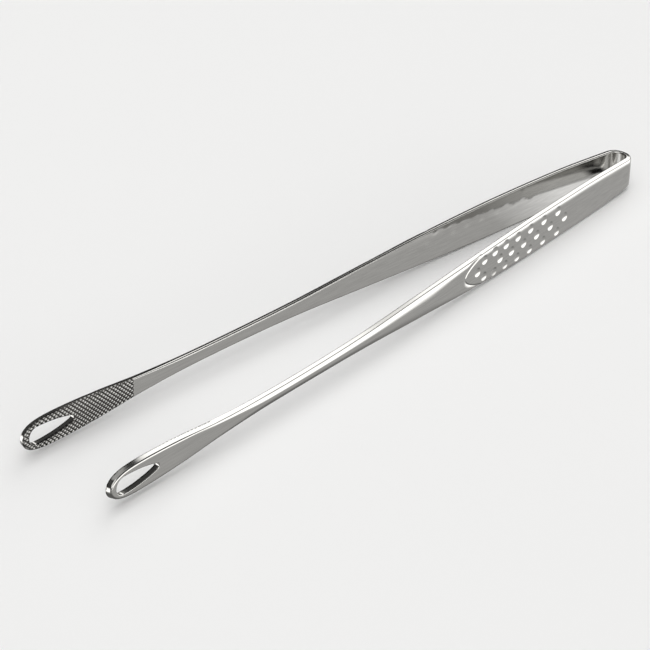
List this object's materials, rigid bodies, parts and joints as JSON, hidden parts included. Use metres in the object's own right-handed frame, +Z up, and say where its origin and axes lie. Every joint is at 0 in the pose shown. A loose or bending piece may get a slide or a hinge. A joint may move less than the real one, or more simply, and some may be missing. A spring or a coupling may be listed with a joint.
{
  "type": "print tongs",
  "caption": "Spring tongs bent from a single steel strip, with dimpled grips, slim arms and looped jaws that are cross-hatched inside.",
  "frame": {"origin": "under the middle of the tongs, level with the lowest edge of the strip", "axes": "+X along the arms from the bow towards the jaws, +Y towards the left arm, +Z up, along the width of the strip"},
  "size_m": [0.2385, 0.0358, 0.0124],
  "materials": {
    "satin_steel": "satin stainless steel, finely brushed along the strip, with polished sheared edges",
    "jaw_steel": "satin stainless steel with a fine cross-hatched gripping face"
  },
  "bodies": {
    "bow": {"spring_bow": "satin_steel", "left_heel": "satin_steel", "right_heel": "satin_steel"},
    "left_arm": {"left_grip": "satin_steel", "left_shank": "satin_steel", "left_jaw": "jaw_steel"},
    "right_arm": {"right_grip": "satin_steel", "right_shank": "satin_steel", "right_jaw": "jaw_steel"}
  },
  "joints": [
    {"name": "left_close", "type": "hinge", "parent": "bow", "child": "left_arm", "pos_m": [-0.10039, 0.00493, 0.0062], "axis": [0, 0, -1], "range_deg": [0, 4.1], "stiffness_Nm_per_rad": 2.1},
    {"name": "right_close", "type": "hinge", "parent": "bow", "child": "right_arm", "pos_m": [-0.10039, -0.00493, 0.0062], "axis": [0, 0, 1], "range_deg": [0, 4.1], "stiffness_Nm_per_rad": 2.1}
  ],
  "couplings": [
    {"joint": "right_close", "follows": "left_close", "ratio": 1}
  ]
}
